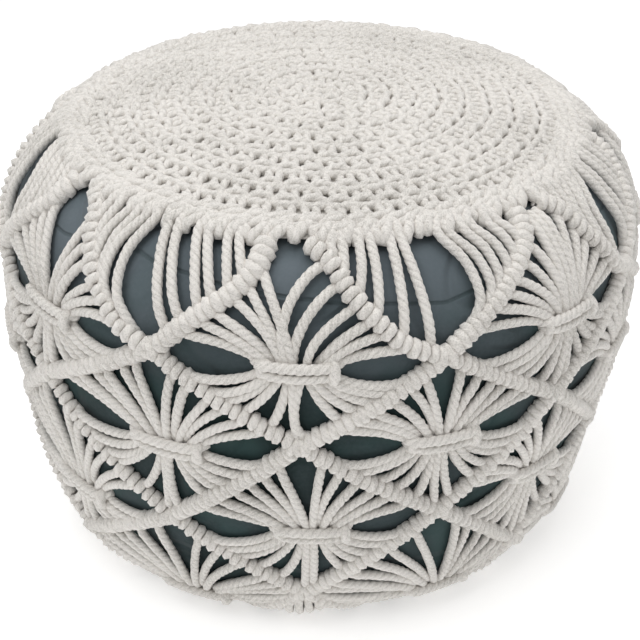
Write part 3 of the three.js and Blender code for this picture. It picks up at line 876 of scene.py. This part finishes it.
for row in range(len(KNOT_HEIGHTS)):
    fans, knots = Cords(), Cords()
    tied_at = TIED_AT_LOWEST if row == len(KNOT_HEIGHTS) - 1 else TIED_AT
    for step in range(row % 2, STEPS, 2):
        centre = knot_spot(row, step)
        before, after = (step - 1) % STEPS, (step + 1) % STEPS
        bars = {
            1: [bar_lines[row, step, "left"], bar_lines[row, step, "right"]],
            -1: [bar_lines[row + 1, before, "right"], bar_lines[row + 1, after, "left"]],
        }
        for up in (1, -1):
            for sign, line, shares in zip((-1, 1), bars[up], tied_at[up]):
                for strand in range(STRANDS_A_SIDE):
                    share = shares[strand] + chance.uniform(-0.022, 0.022)
                    place_in_knot = sign * KNOT_HALF_WIDTH * (strand + 0.5) / STRANDS_A_SIDE
                    angles = None
                    if (row, step, sign) == (0, 0, 1) and (up, strand) in BENT_OVER:
                        place_in_knot, *angles = BENT_OVER[up, strand]
                    goal, _, _ = spot_on(line, share)
                    fan_strand(fans, centre, goal, place_in_knot, up, strand % 2, angles)
        for right, place_in_knot in RIM_STRANDS.get((row, step), ()):
            goal = moved(crossing_spot(row, step), right, 0)
            fan_strand(fans, centre, [goal[0], RIM_STRAND_DROP], place_in_knot, 1, 0)
        add_square_knot(knots, centre)
    fans.piece(f"fan_strands_{row + 1}", cotton)
    knots.piece(f"square_knots_{row + 1}", cotton)


# The strands under the rim: each hangs folded in two over the edge of the crochet, and both ends run down
# to the first bars. They lean to the two sides of each triangle and leave one long lens of cloth open.
FOLD_HALF_WIDTH = 0.0036
END_START = (-0.004, -0.0010)
END_TIED_OUT = -0.0062
RIGHT_LENS_STEPS = (1, 5, 9, 13)

# The top of a fold, from left to right: metres right of its middle, metres up, and how proud it is.
FOLD = [(-0.00288, 0.006, 0.0002), (0, 0.010, -0.0010), (0.00288, 0.006, 0.0002)]

# Points of an end between its fold and its bar: share of the way, share of the bow, and how proud it is.
END_POINTS = [(0.33, 0.8, -0.0012), (0.68, 0.9, -0.0014), (0.88, 0.35, -0.0034)]

# By fold: the bar it goes to, its place along the rim, the places of both ends along the bar, and by how
# many millimetres they bow to the right.
HANGING_LEFT_LENS = [
    ("left", 0.10, (0.12, 0.21), 0), ("left", 0.205, (0.33, 0.43), -3), ("left", 0.31, (0.55, 0.65), -8),
    ("left", 0.40, (0.77, 0.90), -14),
    ("right", 0.517, (0.86, 0.74), -2), ("right", 0.65, (0.61, 0.51), 0), ("right", 0.775, (0.40, 0.29), 0),
]
HANGING_RIGHT_LENS = [
    ("left", 0.162, (0.17, 0.28), 1), ("left", 0.264, (0.41, 0.56), 2), ("left", 0.38, (0.75, 0.92), 1),
    ("right", 0.57, (0.80, 0.69), 12), ("right", 0.675, (0.57, 0.47), 8), ("right", 0.787, (0.35, 0.25), 4),
]

hanging = Cords()
for step in range(1, STEPS, 2):
    left_point = crossing_spot(0, step - 1)
    right_point = nearest_turn(crossing_spot(0, step + 1), left_point)
    bars = {
        "left": bar_lines[0, (step - 1) % STEPS, "right"],
        "right": bar_lines[0, (step + 1) % STEPS, "left"],
    }
    folds = HANGING_RIGHT_LENS if step in RIGHT_LENS_STEPS else HANGING_LEFT_LENS
    for bar, share, bar_shares, bow in folds:
        head = left_point + (right_point - left_point) * share
        head = np.array([head[0], chance.uniform(-0.001, 0.001)])
        ends = []
        for side, bar_share in zip((-1, 1), bar_shares):
            goal = nearest_turn(spot_on(bars[bar], bar_share)[0], head)
            start = moved(head, side * FOLD_HALF_WIDTH, END_START[0])
            path = [[*start, END_START[1]]]
            for part, bend, out in END_POINTS:
                path.append([*moved(start + (goal - start) * part, bow * bend / 1000, 0), out])
            ends.append([*path, [*goal, END_TIED_OUT]])
        fold = [[*moved(head, right, up), out] for right, up, out in FOLD]
        line = smooth_path([*reversed(ends[0]), *fold, *ends[1]], per_span=8)
        lay_spots(hanging, line, CORD_RADIUS * chance.uniform(0.97, 1.04))
hanging.piece("hanging_strands", cotton)


# The edge of the crochet: its last round is worked over the folds of the strands in fat slanting stitches,
# with a chain along their heads. It hangs a little over the rim between the folds.
EDGE_STITCHES = 90
EDGE_PITCH = 2 * math.pi / EDGE_STITCHES

# A strand of a stitch from its top to where it goes in: metres right for a lean of 1, metres right in any
# case, metres up, and how proud it is. The second strand is lower, and sunk at its bend.
EDGE_STRAND = [
    (0.0050, 0, 0.0165, -0.0030), (0.0030, 0, 0.0115, 0.0004), (0, 0.0005, 0.0055, 0.0010),
    (-0.0022, 0, 0.0005, 0), (-0.0030, 0, -0.0022, -0.0045),
]
EDGE_BEND = 2
SECOND_LOWER = 0.002
SECOND_SUNK = 0.001

# How far inside the rim the two strands of the chain lie, and their shape.
EDGE_CHAINS = [0.0105, 0.0175]
CHAIN_HALF_LENGTH = 0.0095
CHAIN_SLANT = 0.0030
CHAIN_OUT = 0.0022
CHAIN_DIVE = 0.0048

edge = Cords()
for stitch in range(EDGE_STITCHES):
    spread = chance.uniform(0.7, 1.5)
    for strand, lean, thick in ((0, 1.0, 1.18), (1, chance.uniform(-0.9, 0.6), 1.08)):
        turn = EDGE_PITCH * (stitch + 0.45 * strand + chance.uniform(-0.12, 0.12))
        middle = np.array([turn, chance.uniform(-0.003, 0.0025) - SECOND_LOWER * strand])
        spots = []
        for leaning, right, up, out in EDGE_STRAND:
            spots.append([*moved(middle, leaning * lean * spread + right, up), out])
        spots[EDGE_BEND][2] -= SECOND_SUNK * strand
        line = smooth_path(spots, per_span=4)
        radius = CORD_RADIUS * thick * chance.uniform(0.9, 1.1)
        lay_spots(edge, line, radius, step=0.0029, sides=SHORT_SIDES, groove=0.06)
    for strand, back in enumerate(EDGE_CHAINS):
        turn = EDGE_PITCH * (stitch + 0.5 * strand + chance.uniform(-0.1, 0.1))
        middle = np.array([turn, -back - chance.uniform(-0.0015, 0.0015)])
        spots = []
        for across in (-1, -0.55, 0, 0.55, 1):
            right = CHAIN_HALF_LENGTH * across * chance.uniform(0.9, 1.1)
            spots.append([*moved(middle, right, CHAIN_SLANT * across), CHAIN_OUT - CHAIN_DIVE * across**2])
        line = smooth_path(spots, per_span=4)
        radius = CORD_RADIUS * chance.uniform(1.0, 1.2)
        lay_spots(edge, line, radius, step=0.0031, sides=SHORT_SIDES, groove=0.08)
edge.piece("crochet_edge", cotton)


# The ring that ends the net: one doubled cord laced round under the base. Below each of the lowest side
# crossings the strands run on to it, a little slack, and it draws the last crossings together on the flat
# of the cushion.
RING_HALF_GAP = 0.0032
RING_OUT = -0.0022
RING_SPOTS = 181
RING_STEP = 0.0028
FRONT_SLACK = 0.0055
SLACK = 0.0015
GATHERED_SHARE = 0.3

# Each slack strand: metres right of its crossing, just below it and at the ring, and its share of the slack.
# Then, along each of them: share of the way, and share of its sag.
SLACK_STRANDS = [
    (-0.016, -0.026, 0.55), (-0.010, -0.016, 0.9), (-0.004, -0.006, 1.0), (0.002, 0.004, 0.8),
    (0.008, 0.014, 0.5), (0.014, 0.024, 0.2),
]
SLACK_POINTS = [(0.14, 0.55), (0.30, 1.0), (0.50, 0.5), (0.75, 0.0)]
SLACK_START = (-0.004, -0.0050)
SLACK_OUT = -0.0026
SLACK_END_OUT = -0.0030

base_ring = Cords()
for step in range(0, STEPS, 2):
    crossing = crossing_spot(len(CROSSING_HEIGHTS) - 1, step)
    foot = np.array([crossing[0], drop_of_radius(BASE_RING_RADIUS)])
    for near, far, hang in SLACK_STRANDS:
        start, goal = moved(crossing, near * GATHERED_SHARE, SLACK_START[0]), moved(foot, far, 0)
        sag = (FRONT_SLACK if step == 0 else SLACK) * hang
        spots = [[*start, SLACK_START[1]]]
        for part, out in SLACK_POINTS:
            beside = near + (far - near) * part
            spots.append([*moved(crossing + (foot - crossing) * part, beside, 0), SLACK_OUT + sag * out])
        line = smooth_path([*spots, [*goal, SLACK_END_OUT]], per_span=4)
        lay_spots(base_ring, line, CORD_RADIUS, step=RING_STEP, sides=SHORT_SIDES)
ring_turns = np.linspace(0, 2 * math.pi, RING_SPOTS)
for radius in (BASE_RING_RADIUS + RING_HALF_GAP, BASE_RING_RADIUS - RING_HALF_GAP):
    ring_drops = np.full(len(ring_turns), drop_of_radius(radius))
    ring = np.column_stack([ring_turns, ring_drops, np.full(len(ring_turns), RING_OUT)])
    lay_spots(base_ring, ring, CORD_RADIUS, step=RING_STEP, sides=SHORT_SIDES)
net_ring = base_ring.piece("base_ring", cotton)
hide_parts("macrame_net")


# The studio: the pouf stands on a white paper floor that glows a little, so that its shadow stays faint.
# Soft light comes from all sides, stronger from above and from the front left.
WHITE = (1, 1, 1, 1)
PAPER = (0.95, 0.95, 0.95, 1)
PAPER_GLOW = 0.37
SKY_LIGHT = 0.41
FLOOR_SIZE = 12

bpy.context.scene.view_settings.view_transform = "Standard"
world = bpy.data.worlds.new("studio")
world.use_nodes = True
sky = world.node_tree.nodes["Background"].inputs
sky["Color"].default_value = WHITE
sky["Strength"].default_value = SKY_LIGHT
bpy.context.scene.world = world

bpy.ops.mesh.primitive_plane_add(size=FLOOR_SIZE, location=(0, 0, 0))
floor = bpy.context.object
floor.name = "studio_floor"
floor.data.materials.append(Finish("white_paper").surface({
    "Base Color": PAPER,
    "Roughness": 0.9,
    "Emission Color": WHITE,
    "Emission Strength": PAPER_GLOW,
}))

# Each light: its name, its place, how wide it is in metres, and its power in watts.
LIGHT_TARGET = (0, 0, 0.15)
LIGHTS = [
    ("key", (-0.9, -1.0, 1.9), 1.4, 13),
    ("fill", (1.4, -0.9, 1.2), 1.2, 3),
    ("top", (0.0, 0.2, 2.0), 1.6, 20),
]
for name, spot, size, power in LIGHTS:
    bpy.ops.object.light_add(type="AREA", location=spot)
    lamp = bpy.context.object
    lamp.name = name + "_light"
    lamp.rotation_euler = (Vector(LIGHT_TARGET) - Vector(spot)).to_track_quat("-Z", "Y").to_euler()
    lamp.data.size = size
    lamp.data.energy = power
